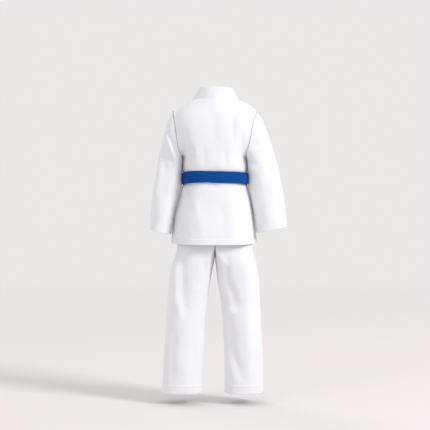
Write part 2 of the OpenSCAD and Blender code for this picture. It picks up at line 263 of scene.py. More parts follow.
SLEEVE_OUTER = {
    1: [(129, 214), (140, 193), (153, 163), (165, 117), (176, 49), (189, -16), (199, -84), (205, -135),
        (203, -164)],
    -1: [(132, 213), (141, 197), (150, 180), (163, 148), (176, 107), (186, 73), (201, 18), (213, -43),
         (221, -101), (225, -153)],
}
SLEEVE_INNER = {
    1: [(105, 63), (105, 36), (104.5, 0), (105.5, -26), (119.5, -70), (130, -112), (139, -175)],
    -1: [(100, 63), (103.5, 36), (104.5, 0), (105, -26), (115, -66), (123.5, -112), (131.5, -171)],
}
SLEEVE_DEPTH = [(0, 50), (0.12, 42), (0.3, 36), (0.6, 36), (1, 40)]
# how soon a sleeve's rows leave the line of the armhole
SLEEVE_START = 13


def sleeve_point(hand, column, share):
    """Point of a sleeve: column goes round from the armpit by the back, share from armhole to cuff."""
    outer, inner = along(SLEEVE_OUTER[hand], share), along(SLEEVE_INNER[hand], share)
    swing, back = oval(math.pi - 2 * math.pi * column / RING, RING_ROUND)
    x, z = (outer + inner) / 2 + (outer - inner) / 2 * swing
    x += (table(z, EDGE_X[hand]) - x) * clamp(1 - SLEEVE_START * share)
    return np.array([hand * x, table(share, SLEEVE_DEPTH) * back, z])


# ---- trousers shape

WAIST_Z = 10
CROTCH_Z = -246
FORK_Z = -196
HEM_LEG_Z = -675
HIP_SIDE = [(-200, 118), (-140, 110), (-100, 102), (-40, 90), (10, 86)]
HIP_DEPTH = [(-225, 66), (-100, 67), (10, 60)]
LEG_OUTER = {
    1: [(-680, 166), (-618, 165), (-492, 157), (-365, 148), (-270, 142), (-235, 136),
        (-216, 133), (-206, 124)],
    -1: [(-680, 153), (-546, 152), (-473, 147), (-400, 143), (-329, 140), (-270, 136),
         (-235, 131), (-216, 126), (-206, 119)],
}
LEG_INNER = {
    1: [(-680, 40), (-582, 37), (-510, 32), (-455, 29), (-365, 20), (-318, 13), (-250, 1)],
    -1: [(-680, 31), (-546, 29), (-437, 24), (-383, 19), (-351, 12), (-322, 6), (-250, 1)],
}
LEG_DEPTH = [(-680, 48), (-400, 56), (-300, 64), (-225, 66)]
HIP_ROWS = 22
LEG_ROWS = 50
OUTER_COLUMNS = 24
INNER_COLUMNS = 14
LEG_RING = OUTER_COLUMNS + INNER_COLUMNS
# rows where the pieces of the trousers' mesh meet: seat with thigh, and thigh with lower leg
SEAT_ROW = 7
LEG_SPLIT = 14
# degrees round a leg from its outer side to where the fork starts, and the height of the blend below it
FORK_ANGLE = 112
FORK_BLEND = 110


def hip_point(hand, column, z):
    """Half of the trousers' hips: column 0 is the front middle and OUTER_COLUMNS the back middle."""
    swing, back = oval(math.pi * (column / OUTER_COLUMNS - 0.5), SECTION_ROUND)
    return np.array([hand * (table(z, HIP_SIDE) * swing), table(z, HIP_DEPTH) * back, z])


def leg_point(hand, column, share):
    """Point of a leg below the fork. Columns past OUTER_COLUMNS run over the inner side."""
    if column > OUTER_COLUMNS:
        step = (column - OUTER_COLUMNS) / INNER_COLUMNS
        back = math.cos(math.pi * step)
        top = np.array([0, HIP_DEPTH[0][1] * back, lerp(CROTCH_Z, FORK_Z, abs(back) ** 1.5)])
        angle = math.radians(lerp(FORK_ANGLE, 360 - FORK_ANGLE, step))
    else:
        top = hip_point(hand, column, FORK_Z)
        angle = math.radians(lerp(-FORK_ANGLE, FORK_ANGLE, column / OUTER_COLUMNS))
    z = lerp(top[2], HEM_LEG_Z, share)
    outer, inner = table(z, LEG_OUTER[hand]), table(z, LEG_INNER[hand])
    swing, back = oval(angle, SECTION_ROUND)
    x = (outer + inner) / 2 + (outer - inner) / 2 * swing
    close = smooth((FORK_Z - z) / FORK_BLEND)
    return np.array([lerp(top[0], hand * x, close), lerp(top[1], table(z, LEG_DEPTH) * back, close), z])


# ---- meshes from grids

def cloth_object(name, spots, faces, uvs):
    """Object with smooth faces and the cloth's own coordinates, all in metres."""
    mesh = bpy.data.meshes.new(name)
    mesh.from_pydata(spots, [], faces)
    layer = mesh.uv_layers.new(name="cloth")
    layer.data.foreach_set("uv", np.array([c for uv in uvs for c in uv], np.float32).ravel())
    mesh.polygons.foreach_set("use_smooth", np.ones(len(mesh.polygons), bool))
    mesh.update()
    obj = bpy.data.objects.new(name, mesh)
    scene.collection.objects.link(obj)
    return obj


class Patchwork:
    """Points, faces, parts and cloth coordinates of a garment made of grids that share points."""

    def __init__(self):
        self.points, self.ids, self.faces, self.parts, self.uvs = [], {}, [], [], []

    def point(self, key, make):
        if key not in self.ids:
            self.ids[key] = len(self.points)
            self.points.append(make())
        return self.ids[key]

    def numbers(self, key, make, columns, rows):
        """Point numbers, a list for each row; grids share the points that have the same key."""
        return [[self.point(key(c, r), partial(make, c, r)) for c in columns] for r in rows]

    def grid(self, ids, part):
        """Faces over a two-way list of point numbers, with the cloth's own coordinates in metres."""
        spots = np.array(self.points)[np.array(ids)] * MM
        across = np.linalg.norm(np.diff(spots, axis=1), axis=2).mean(axis=0)
        down = np.linalg.norm(np.diff(spots, axis=0), axis=2).mean(axis=1)
        u = np.r_[0, np.cumsum(across)]
        v = np.r_[0, np.cumsum(down)]
        for j in range(len(ids) - 1):
            for i in range(len(ids[0]) - 1):
                corners = ((i, j), (i + 1, j), (i + 1, j + 1), (i, j + 1))
                self.faces.append([ids[b][a] for a, b in corners])
                self.parts.append(part)
                self.uvs.append([(u[a], v[b]) for a, b in corners])

    def mesh(self, name):
        """One object of the whole garment. Each part has a material index of its own."""
        self.part_names = sorted(set(self.parts))
        obj = cloth_object(name, [tuple(p * MM) for p in self.points], self.faces, self.uvs)
        for _ in self.part_names:
            obj.data.materials.append(None)
        index = [self.part_names.index(p) for p in self.parts]
        obj.data.polygons.foreach_set("material_index", np.array(index, np.int32))
        return obj

    def holders(self, *starts):
        """Which points belong to parts whose names start so."""
        chosen = np.zeros(len(self.points), bool)
        for face, part in zip(self.faces, self.parts):
            if part.startswith(starts):
                chosen[face] = True
        return chosen


def edge_key(hand, row, face):
    """Point on the side seam or the armhole: front and back share it where they are sewn together."""
    if VENT_ROW <= row <= LOW_ROWS or row == ROWS:
        return ("edge", hand, row)
    return ("edge", hand, row, face)


def back_key(column, row):
    hand = 1 if column <= SIDE_COLUMNS else -1
    if column in (0, BACK_COLUMNS):
        return edge_key(hand, row, "back")
    if row == ROWS and not SIDE_COLUMNS < column < BACK_COLUMNS - SIDE_COLUMNS:
        return ("shoulder", hand, column if hand > 0 else BACK_COLUMNS - column)
    return ("back", column, row)


def front_key(hand, column, row):
    if column == 0:
        return edge_key(hand, row, "front")
    if row == ROWS:
        return ("shoulder", hand, column)
    return ("front", hand, column, row)


def sleeve_key(hand, column, row):
    column %= RING
    if row == 0:
        half = RING // 2
        return edge_key(hand, LOW_ROWS + (column if column <= half else RING - column),
                        "back" if column <= half else "front")
    return ("sleeve", hand, column, row)


def jacket_patchwork():
    """The jacket's cloth: back, two fronts and two sleeves, sewn where they share points."""
    work = Patchwork()

    def back(column, row):
        side = back_side(column)
        return jacket_point(side, row, neck_angle(side))

    work.grid(work.numbers(back_key, back, range(BACK_COLUMNS + 1), range(ROWS + 1)), "back_panel")
    for hand, name in HANDS:
        def front(column, row):
            return front_point(hand, column / SIDE_COLUMNS, row)

        def sleeve(column, row):
            return sleeve_point(hand, column % RING, row / SLEEVE_ROWS)

        columns = range(SIDE_COLUMNS, -1, -1) if hand > 0 else range(SIDE_COLUMNS + 1)
        work.grid(work.numbers(partial(front_key, hand), front, columns, range(ROWS + 1)),
                  f"front_panel_{name}")
        columns = range(RING + 1) if hand > 0 else range(RING, -1, -1)
        rings = work.numbers(partial(sleeve_key, hand), sleeve, columns, range(SLEEVE_ROWS, -1, -1))
        split = SLEEVE_ROWS - SLEEVE_SPLIT
        work.grid(rings[:split + 1], f"sleeve_cloth_{name}_lower")
        work.grid(rings[split:], f"sleeve_cloth_{name}_upper")
    return work


def hip_key(hand, column, row):
    return ("hip", 0 if column in (0, OUTER_COLUMNS) else hand, column, row)


def leg_key(hand, column, row):
    column %= LEG_RING
    if row == 0:
        return hip_key(hand, column, 0) if column <= OUTER_COLUMNS else ("fork", column)
    return ("leg", hand, column, row)


def trousers_patchwork():
    """The trousers' cloth: a seat and two legs that fork at the crotch."""
    work = Patchwork()
    for hand, name in HANDS:
        def hip(column, row):
            return hip_point(hand, column, lerp(FORK_Z, WAIST_Z, row / HIP_ROWS))

        def leg(column, row):
            return leg_point(hand, column % LEG_RING, row / LEG_ROWS)

        hips = work.numbers(partial(hip_key, hand), hip, range(OUTER_COLUMNS + 1), range(HIP_ROWS + 1))
        legs = work.numbers(partial(leg_key, hand), leg, range(LEG_RING + 1), range(LEG_ROWS, -1, -1))
        if hand < 0:
            hips, legs = [[row[::-1] for row in rows] for rows in (hips, legs)]
        work.grid(hips[SEAT_ROW:], "seat_cloth")
        work.grid(hips[:SEAT_ROW + 1], f"leg_cloth_{name}_upper")
        split = LEG_ROWS - LEG_SPLIT
        work.grid(legs[split:], f"leg_cloth_{name}_upper")
        work.grid(legs[:split + 1], f"leg_cloth_{name}_lower")
    return work


# ---- folds pressed into the cloth

# (points (x, z) along a fold, its depth and its half width): ridges stand out, grooves are negative
BACK_FOLDS = [
    ([(90, 142), (94, 120), (99, 84), (102, 58)], -2.8, 6),
    ([(106, 136), (92, 137)], -2.5, 5),
    ([(83, 112), (80, 70), (78, 38)], -2.0, 13),
    ([(60, 100), (62, 40)], 1.5, 8),
    ([(4, 196), (3, 112)], -1.6, 9),
    ([(-54, 200), (-57, 108)], -1.8, 10),
    ([(-95, 205), (-98, 160)], -1.6, 6),
    ([(-84, 146), (-83, 60)], -2.4, 12),
    ([(-74, 52), (-97, 24)], -2.4, 5),
    ([(34, 90), (32, 34)], -1.4, 9),
    ([(-30, 84), (-33, 34)], -1.2, 8),
    ([(3, 36), (2, 23)], -3.0, 3.5),
    ([(1, -18), (-7, -40)], -2.4, 4),
    ([(89, -24), (87, -56)], -4.5, 5),
    ([(98, -24), (99, -60)], 2.0, 6),
    ([(97, -66), (77, -98)], -2.4, 7),
    ([(118, -96), (98, -176)], -2.6, 10),
    ([(96, -40), (120, -90)], -1.8, 9),
    ([(60, -60), (40, -190)], 1.3, 16),
    ([(-92, -30), (-86, -70)], -1.6, 6),
    ([(-70, -60), (-84, -190)], -1.4, 14),
    ([(-20, -70), (-30, -190)], -1.0, 14),
]
FRONT_FOLDS = [
    ([(92, 150), (98, 80)], -3.5, 7),
    ([(-92, 150), (-97, 80)], -3.5, 7),
    ([(70, 110), (76, 36)], -2.6, 11),
    ([(-66, 120), (-78, 36)], -2.6, 11),
    ([(98, 56), (70, 30)], -2.0, 5),
    ([(-98, 56), (-70, 28)], -2.0, 5),
    ([(84, -28), (92, -90)], -3.0, 8),
    ([(-84, -28), (-94, -96)], -3.0, 8),
    ([(60, -60), (78, -190)], -2.0, 13),
    ([(-40, -60), (-62, -190)], -2.0, 13),
    ([(20, -40), (24, -180)], 1.6, 12),
    ([(60, 214), (86, 150)], -1.6, 10),
    ([(-60, 214), (-86, 150)], -1.6, 10),
]
SLEEVE_BACK_FOLDS = [
    ([(148, 146), (146, 128), (140, 106), (131, 78), (125, 54)], -5.0, 6.5),
    ([(147, 160), (141, 132), (130, 104), (118, 86), (110, 78)], 3.6, 6),
    ([(132, 206), (131, 172), (134, 134), (124, 104)], -3.0, 6),
    ([(159, 96), (156, 20)], 1.8, 9),
    ([(169, 92), (172, 20), (186, -60)], -2.4, 9),
    ([(118, 56), (128, 10), (150, -60)], -1.8, 10),
    ([(190, -60), (192, -150)], 1.6, 12),
    ([(150, -70), (162, -150)], -1.6, 12),
    ([(-134, 108), (-112, 90)], 4.0, 6),
    ([(-126, 90), (-108, 82)], -4.5, 5),
    ([(-140, 96), (-118, 78), (-108, 62)], -2.0, 6),
    ([(-104, 56), (-112, 48), (-128, 42)], 3.2, 6),
    ([(-112, 34), (-130, 24)], -2.4, 6),
    ([(-150, 150), (-166, 60), (-180, -30)], 1.6, 14),
    ([(-136, 60), (-150, -40)], -1.5, 12),
    ([(-192, 10), (-200, -120)], 1.4, 14),
    ([(-160, -60), (-172, -150)], -1.5, 14),
]
SLEEVE_FRONT_FOLDS = [
    ([(150, 150), (136, 108), (116, 84)], -5.0, 7),
    ([(146, 118), (122, 92)], 3.5, 6),
    ([(-150, 150), (-136, 108), (-114, 84)], -5.0, 7),
    ([(-146, 118), (-122, 92)], 3.5, 6),
    ([(160, 80), (152, 20), (166, -60)], -3.2, 9),
    ([(-164, 80), (-156, 16), (-174, -70)], -3.2, 9),
    ([(128, 30), (168, 8)], -2.6, 6),
    ([(-128, 26), (-172, 2)], -2.6, 6),
    ([(184, -40), (182, -150)], 1.8, 12),
    ([(-196, -40), (-190, -150)], 1.8, 12),
]
LEG_BACK_FOLDS = [
    ([(107, -205), (101, -290), (100, -372), (90, -428)], -4.0, 10),
    ([(128, -270), (123, -372), (106, -440)], 2.6, 8),
    ([(42, -206), (30, -262), (36, -318)], -2.6, 8),
    ([(38, -318), (58, -250)], 2.2, 8),
    ([(20, -216), (10, -262)], -2.0, 7),
    ([(46, -436), (60, -500), (70, -640)], -1.6, 14),
    ([(130, -470), (136, -640)], -1.8, 14),
    ([(98, -460), (104, -660)], 1.6, 16),
    ([(-34, -204), (-36, -320), (-58, -362), (-66, -404)], -3.6, 11),
    ([(-62, -330), (-76, -380)], 1.8, 8),
    ([(-46, -438), (-52, -540), (-84, -630)], -3.4, 12),
    ([(-92, -210), (-96, -420), (-104, -640)], 1.8, 18),
    ([(-128, -300), (-132, -600)], -1.5, 12),
    ([(-24, -408), (-60, -420)], 2.4, 9),
]
LEG_FRONT_FOLDS = [
    ([(92, -190), (84, -330), (80, -480)], -3.2, 11),
    ([(-92, -190), (-84, -330), (-80, -480)], -3.2, 11),
    ([(30, -214), (56, -262)], -3.0, 8),
    ([(-30, -214), (-56, -262)], -3.0, 8),
    ([(20, -250), (48, -330)], -2.6, 9),
    ([(-20, -250), (-48, -330)], -2.6, 9),
    ([(60, -420), (72, -660)], 2.4, 15),
    ([(-60, -420), (-68, -660)], 2.4, 15),
    ([(120, -400), (130, -640)], -2.4, 13),
    ([(-120, -400), (-124, -640)], -2.4, 13),
    ([(40, -400), (112, -432)], -2.2, 8),
    ([(-36, -396), (-110, -424)], -2.2, 8),
]
# how much deeper than the tables say the folds are pressed, to allow for the draping
FOLD_GAIN = 2.3


def line_distance(spots, line):
    """Distance of each (x, z) from a polyline, and the share of its length where it is nearest."""
    best = np.full(len(spots), np.inf)
    share = np.zeros(len(spots))
    steps = np.linalg.norm(np.diff(line, axis=0), axis=1)
    before = np.r_[0, np.cumsum(steps)]
    for start, end, length, done in zip(line[:-1], line[1:], steps, before):
        t = np.clip((spots - start) @ (end - start) / length ** 2, 0, 1)
        gap = np.linalg.norm(spots - start - t[:, None] * (end - start), axis=1)
        nearer = gap < best
        best[nearer] = gap[nearer]
        share[nearer] = ((done + t * length) / before[-1])[nearer]
    return best, share


def press(points, normals, folds, chosen):
    """Moves the chosen points along their normals by the folds that they lie on, all in mm."""
    for line, depth, half_width in folds:
        gap, share = line_distance(points[:, [0, 2]], np.array(line, float))
        ends = np.clip(np.minimum(share, 1 - share) * 4, 0, 1) ** 0.7
        lift = FOLD_GAIN * depth * np.exp(-(1.2 * gap / half_width) ** 1.5) * (0.25 + 0.75 * ends)
        points += normals * (lift * chosen)[:, None]


def ripple(points, normals, chosen, size):
    """Slow unevenness that hand-sewn and washed cloth has, from a few crossing waves."""
    x, y, z = (points * 0.01).T
    wave = (np.sin(5.1 * x + 2.3 * z + 1.7 * y) + np.sin(3.7 * z - 4.3 * x + 2.9) * 0.8
            + np.sin(7.9 * x - 3.1 * z + 0.6) * 0.5 + np.sin(9.7 * z + 3.9 * x + 4.1 * y) * 0.4)
    points += normals * (wave * size * chosen)[:, None]


def read(items, field, size):
    """One row of numbers for each of a mesh's items."""
    found = np.empty(len(items) * size, np.float32)
    items.foreach_get(field, found)
    return found.reshape(-1, size).astype(float)


def coordinates(mesh):
    return read(mesh.vertices, "co", 3)


def directions(mesh):
    """The outward direction at each vertex."""
    return read(mesh.vertex_normals, "vector", 3)


def place(mesh, spots):
    mesh.vertices.foreach_set("co", spots.astype(np.float32).ravel())
    mesh.update()


# ---- draping

CLOTH_SLACK = 0.012
DRAPE_FRAMES = 24
CLOTH_SETTINGS = {
    "quality": 7, "mass": 0.28, "air_damping": 2,
    "tension_stiffness": 18, "compression_stiffness": 18, "shear_stiffness": 8, "bending_stiffness": 1.6,
    "tension_damping": 12, "compression_damping": 12, "shear_damping": 12, "bending_damping": 1,
    "vertex_group_mass": "held", "pin_stiffness": 1,
}


def drape(obj, held):
    """Lets the cloth hang. held is each point's hold, 1 where it is sewn or tied fast."""
    group = obj.vertex_groups.new(name="held")
    for index, weight in enumerate(held):
        group.add([index], float(weight), "REPLACE")
    obj.shape_key_add(name="Basis")
    cut = obj.shape_key_add(name="cut")
    for point in cut.data:
        point.co *= 1 + CLOTH_SLACK
    modifier = obj.modifiers.new("drape", "CLOTH")
    for setting, value in CLOTH_SETTINGS.items():
        setattr(modifier.settings, setting, value)
    modifier.settings.rest_shape_key = cut
    modifier.collision_settings.use_collision = False
    for frame_number in range(1, DRAPE_FRAMES + 1):
        scene.frame_set(frame_number)
    settled = evaluated(obj)
    spots = coordinates(settled)
    bpy.data.meshes.remove(settled)
    obj.modifiers.remove(modifier)
    obj.shape_key_clear()
    place(obj.data, spots)
    scene.frame_set(1)


def evaluated(obj):
    """A mesh of the object as its modifiers leave it."""
    return bpy.data.meshes.new_from_object(obj.evaluated_get(bpy.context.evaluated_depsgraph_get()))


def refined(obj):
    """The mesh after one round of subdivision; the first points stay the coarse mesh's own."""
    modifier = obj.modifiers.new("smooth", "SUBSURF")
    modifier.levels = 1
    modifier.subdivision_type = "CATMULL_CLARK"
    mesh = evaluated(obj)
    obj.modifiers.remove(modifier)
    bpy.data.objects.remove(obj)
    return mesh


# ---- closed pieces from surfaces

CLOTH_T = 1.6 * MM


def closed_mesh(name, outer, out, faces, uvs):
    """Thin closed mesh: outer and inner skins with smooth normals, and a rim along open edges."""
    count = len(outer)
    edges = dict.fromkeys(edge for face in faces for edge in zip(face, face[1:] + face[:1]))
    rim = [(a, b) for a, b in edges if (b, a) not in edges]
    all_faces = faces + [[i + count for i in reversed(f)] for f in faces]
    all_faces += [[b, a, a + count, b + count] for a, b in rim]
    corner_uv = {}
    for face, uv in zip(faces, uvs):
        corner_uv.update(zip(face, uv))
    all_uvs = uvs + [uv[::-1] for uv in uvs] + [[corner_uv[i] for i in (b, a, a, b)] for a, b in rim]
    obj = cloth_object(name, np.vstack([outer, outer - out * CLOTH_T]).tolist(), all_faces, all_uvs)
    skins = np.array([i for f in all_faces[:2 * len(faces)] for i in f])
    flat = np.array([p.normal for p in obj.data.polygons][2 * len(faces):])
    normals = np.vstack([np.vstack([out, -out])[skins], np.repeat(flat, 4, axis=0)])
    obj.data.normals_split_custom_set(normals.tolist())
    return obj


def panels(mesh, part_names):
    """One closed piece of cloth for each part of a garment's mesh."""
    spots, out = coordinates(mesh), directions(mesh)
    uv = [tuple(pair) for pair in read(mesh.uv_layers["cloth"].data, "uv", 2)]
    found = {part: ([], []) for part in part_names}
    for polygon in mesh.polygons:
        faces, face_uvs = found[part_names[polygon.material_index]]
        faces.append(list(polygon.vertices))
        face_uvs.append([uv[i] for i in polygon.loop_indices])
    pieces = {}
    for part, (faces, face_uvs) in found.items():
        used = sorted({i for f in faces for i in f})
        new = {old: i for i, old in enumerate(used)}
        faces = [[new[i] for i in f] for f in faces]
        pieces[part] = closed_mesh(part, spots[used], out[used], faces, face_uvs)
    return pieces


def puffed(rows, base, puff, steps=4):
    """Section of a stitched band: (share across, height) in mm, low along each row of stitches."""
    section = [(0.0, base * 0.35)]
    for row in range(rows):
        for step in range(steps):
            share = (row + (step + 0.5) / steps) / rows
            section.append((share, base + puff * math.sin(math.pi * (step + 0.5) / steps) ** 0.6))
        if row < rows - 1:
            section.append(((row + 1) / rows, base - puff * 0.4))
    return section + [(1.0, base * 0.35)]


def band(name, stations, outward, section, under=1.0, closed=False):
    """Closed strip through stations, each a row of points (mm) along the band, from one edge to the other.

    outward gives roughly the way that the outer face looks, and section its height across the band.
    """
    stations = np.array(stations, float)
    count = stations.shape[1]
    if closed:
        ahead, behind = np.roll(stations, -1, axis=1), np.roll(stations, 1, axis=1)
    else:
        ahead = np.concatenate([stations[:, 1:], stations[:, -1:]], axis=1)
        behind = np.concatenate([stations[:, :1], stations[:, :-1]], axis=1)
    tangents = ahead - behind
    normals = np.cross(tangents, np.gradient(stations, axis=0))
    normals /= np.maximum(np.linalg.norm(normals, axis=2, keepdims=True), 1e-9)
    sign = np.sign((normals * np.array(outward, float)).sum(axis=2, keepdims=True))
    flip = float(sign.sum()) < 0
    normals = normals * np.where(sign == 0, 1, sign)

    def at(array, share):
        spot = share * (len(stations) - 1)
        low = min(int(spot), len(stations) - 2)
        return lerp(array[low], array[low + 1], spot - low)

    loop = section + [(share, -under) for share in sorted({s for s, _ in section}, reverse=True)]
    rings = np.array([at(stations, s) + at(normals, s) * h for s, h in loop]) * MM
    width = np.linalg.norm(np.diff(stations, axis=0), axis=2).sum(axis=0).mean() * MM
    steps = np.linalg.norm(tangents.mean(axis=0), axis=1) * 0.5 * MM
    along_u = np.r_[0, np.cumsum(steps)]
    size = len(loop)
    spots = rings.transpose(1, 0, 2).reshape(-1, 3)
    faces, uvs = [], []
    for i in range(count if closed else count - 1):
        j = (i + 1) % count
        for k in range(size):
            m = (k + 1) % size
            face = [a * size + b for a, b in ((i, k), (j, k), (j, m), (i, m))]
            uv = [(along_u[a], loop[b][0] * width) for a, b in ((i, k), (i + 1, k), (i + 1, m), (i, m))]
            faces.append(face[::-1] if flip else face)
            uvs.append(uv[::-1] if flip else uv)
    if not closed:
        for end, turned in ((0, not flip), (count - 1, flip)):
            base = end * size
            for k in range(len(section) - 1):
                inner_k = size - 1 - k
                cap = [base + k, base + k + 1, base + inner_k - 1, base + inner_k]
                faces.append(cap[::-1] if turned else cap)
                uvs.append([(0, 0)] * 4)
    obj = cloth_object(name, spots.tolist(), faces, uvs)
    obj.data.set_sharp_from_angle(angle=math.radians(50))
    return obj


# ---- materials

def node(tree, kind, inputs=(), **settings):
    """Node with settings; inputs are values or output sockets, by name or number."""
    made = tree.nodes.new(kind)
    for name, value in settings.items():
        setattr(made, name, value)
    for name, value in dict(inputs).items():
        if isinstance(value, bpy.types.NodeSocket):
            tree.links.new(value, made.inputs[name])
        else:
            made.inputs[name].default_value = value
    return made


def maths(tree, operation, first, second=0.0, third=0.0):
    return node(tree, "ShaderNodeMath", {0: first, 1: second, 2: third}, operation=operation).outputs[0]


def noise(tree, place_in, scale, detail, distortion=0.0):
    return node(tree, "ShaderNodeTexNoise", {
        "Vector": place_in, "Scale": scale, "Detail": detail, "Distortion": distortion}).outputs[0]


def mixed(tree, share, first, second):
    """A colour between two, each a colour or a socket."""
    return node(tree, "ShaderNodeMix", {0: share, 6: first, 7: second}, data_type="RGBA").outputs[2]


def new_material(name):
    """A material and its node tree."""
    material = bpy.data.materials.new(name)
    material.use_nodes = True
    return material, material.node_tree


# stitches: half a thread and their pitch in metres, the share of the pitch that shows, and how proud it is
STITCH_HALF = 0.00045
STITCH_PITCH = 0.0032
STITCH_SHARE = 0.72
STITCH_RISE = 1.6


def woven(name, colour, shade, pitch, weave_height, roughness, sheen, row_gap=0.0, thread_and_groove_shade=None, gloss=0.3):
    """Woven cloth: crossing threads from the cloth's own coordinates, uneven dye, and stitch rows whose
    darker colour is partly thread and partly painted groove shade.
    """
    material, tree = new_material(name)
    tree.nodes.clear()
    calc = partial(maths, tree)
    uv = node(tree, "ShaderNodeUVMap", uv_map="cloth").outputs[0]
    u, v = node(tree, "ShaderNodeSeparateXYZ", {0: uv}).outputs[:2]
    place_in = node(tree, "ShaderNodeTexCoord").outputs["Object"]
    warp, weft = [calc("SINE", calc("MULTIPLY", way, 2 * math.pi / pitch)) for way in (u, v)]
    slubs, clouds = noise(tree, place_in, 260.0, 3.0), noise(tree, place_in, 9.0, 4.0)
    creases = noise(tree, place_in, 34.0, 5.0, 0.8)
    tint = calc("MULTIPLY_ADD", clouds, 0.75, calc("MULTIPLY", slubs, 0.25))
    mix = mixed(tree, tint, (*shade, 1), (*colour, 1))
    height = calc("MULTIPLY_ADD", calc("MULTIPLY", warp, weft), 0.5, slubs)
    # stitch rows lie in the band's grooves; their darker colour is partly the thread and partly painted shade
    # of those grooves
    if row_gap:
        cell = calc("FRACT", calc("ADD", calc("DIVIDE", v, row_gap), 0.5))
        away = calc("MULTIPLY", calc("ABSOLUTE", calc("SUBTRACT", cell, 0.5)), row_gap)
        dash = calc("LESS_THAN", calc("FRACT", calc("DIVIDE", u, STITCH_PITCH)), STITCH_SHARE)
        stitch_and_groove_shade = calc("MULTIPLY", calc("LESS_THAN", away, STITCH_HALF), dash)
        mix = mixed(tree, stitch_and_groove_shade, mix, (*thread_and_groove_shade, 1))
        height = calc("ADD", height, calc("MULTIPLY", stitch_and_groove_shade, STITCH_RISE))
    fine = node(tree, "ShaderNodeBump", {"Strength": 0.55, "Distance": weave_height, "Height": height})
    broad = node(tree, "ShaderNodeBump", {"Strength": 0.5, "Distance": 0.0016, "Height": creases,
                                          "Normal": fine.outputs[0]})
    shader = node(tree, "ShaderNodeBsdfPrincipled", {
        "Base Color": mix, "Roughness": calc("MULTIPLY_ADD", slubs, 0.12, roughness),
        "Normal": broad.outputs[0], "Sheen Weight": sheen, "Sheen Roughness": 0.45,
        "Specular IOR Level": gloss})
    node(tree, "ShaderNodeOutputMaterial", {0: shader.outputs[0]})
    return material


def pressed_metal(name):
    material, tree = new_material(name)
    shader = tree.nodes["Principled BSDF"]
    grain = noise(tree, node(tree, "ShaderNodeTexCoord").outputs["Object"], 900.0, 3.0)
    bump = node(tree, "ShaderNodeBump", {"Strength": 0.2, "Distance": 0.0002, "Height": grain})
    for socket, value in (
            ("Roughness", maths(tree, "MULTIPLY_ADD", grain, 0.25, 0.22)),
            ("Base Color", mixed(tree, grain, (0.5, 0.5, 0.52, 1), (0.72, 0.72, 0.74, 1))),
            ("Normal", bump.outputs[0])):
        tree.links.new(value, shader.inputs[socket])
    shader.inputs["Metallic"].default_value = 1.0
    return material


WHITE = (0.715, 0.72, 0.75)
SLOTS = {
    "white_cotton": woven("white_cotton", WHITE, (0.68, 0.685, 0.715), 0.0011, 0.00010, 0.85, 0.08),
    # thread colour darker than the cloth: partly the thread, partly painted shade in the grooves the stitches
    # lie in
    "stitched_band": woven("stitched_band", WHITE, (0.685, 0.69, 0.72), 0.0011, 0.00010, 0.85, 0.08,
                           row_gap=0.00733, thread_and_groove_shade=(0.64, 0.645, 0.675)),
    # thread colour darker than the belt cloth: partly the thread, partly painted shade in the grooves the
    # stitches lie in
    "blue_belt": woven("blue_belt", (0.0035, 0.067, 0.290), (0.002, 0.044, 0.215), 0.0009, 0.00012, 0.55,
                       0.0, row_gap=0.0035, thread_and_groove_shade=(0.002, 0.042, 0.20), gloss=0.05),
    "eyelet_metal": pressed_metal("eyelet_metal"),
}


def finish_piece(obj, slot, nodes=(), body=None, bend=None):
    """Gives a piece its material and hides the CAD nodes it stands for; it is attached to its body, or with a
    bend only has its transform baked in.
    """
    obj.data.materials.clear()
    obj.data.materials.append(SLOTS[slot])
    if nodes:
        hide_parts(*nodes)
    if bend:
        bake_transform(obj)
    else:
        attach(obj, body)
    return obj


# ---- where cloth bends at the joints

def bends(hand, side):
    """For each length of cloth that bends: its two bodies, and where the bend starts and ends."""
    armhole = np.array([hand * 0.105, 0, 0.063])
    arm_way = np.array([hand * 0.932, 0, -0.363])
    elbow_x, knee_x = hand * 0.15, hand * 0.085
    return {
        ("sleeve", "upper"): ("jacket", f"upper_sleeve_{side}", tuple(armhole),
                              tuple(armhole + 0.026 * arm_way)),
        ("sleeve", "lower"): (f"upper_sleeve_{side}", f"lower_sleeve_{side}",
                              (elbow_x, 0, -0.002), (elbow_x, 0, -0.038)),
        ("leg", "upper"): ("trousers", f"upper_leg_{side}", (0, 0, -0.225), (hand * 0.06, 0, -0.305)),
        ("leg", "lower"): (f"upper_leg_{side}", f"lower_leg_{side}",
                           (knee_x, 0, -0.350), (knee_x, 0, -0.450)),
    }


# ---- the two garments

# hold of cloth that hangs free, and of a sleeve's cloth from below to its top: 1 is sewn or tied fast
LOOSE = 0.55
SLEEVE_HOLD = (0.62, 0.85)


def hold_of_jacket(work):
    """How firmly each point is held: sewn at the neck and band, gripped by the belt, looser elsewhere."""
    held = np.empty(len(work.points))
    sleeves = work.holders("sleeve")
    for index, (_, _, z) in enumerate(work.points):
        if sleeves[index]:
            held[index] = lerp(*SLEEVE_HOLD, smooth((z - 120) / 60))
        else:
            held[index] = LOOSE + 0.4 * smooth((z - 130) / 70) + 0.45 * smooth((42 - abs(z)) / 18)
    for hand, _ in HANDS:
        for row in range(ROWS + 1):
            for column in range(SIDE_COLUMNS - 3, SIDE_COLUMNS + 1):
                held[work.ids[front_key(hand, column, row)]] = 1
            if row >= LOW_ROWS:
                for face in ("back", "front"):
                    held[work.ids[edge_key(hand, row, face)]] = 0.9
    for column in range(BACK_COLUMNS + 1):
        held[work.ids[back_key(column, ROWS)]] = 1
        held[work.ids[back_key(column, ROWS - 1)]] = 1
    return np.minimum(held, 1)


def hold_of_trousers(work):
    return np.array([LOOSE + 0.45 * smooth((z + 60) / 60) for _, _, z in work.points])


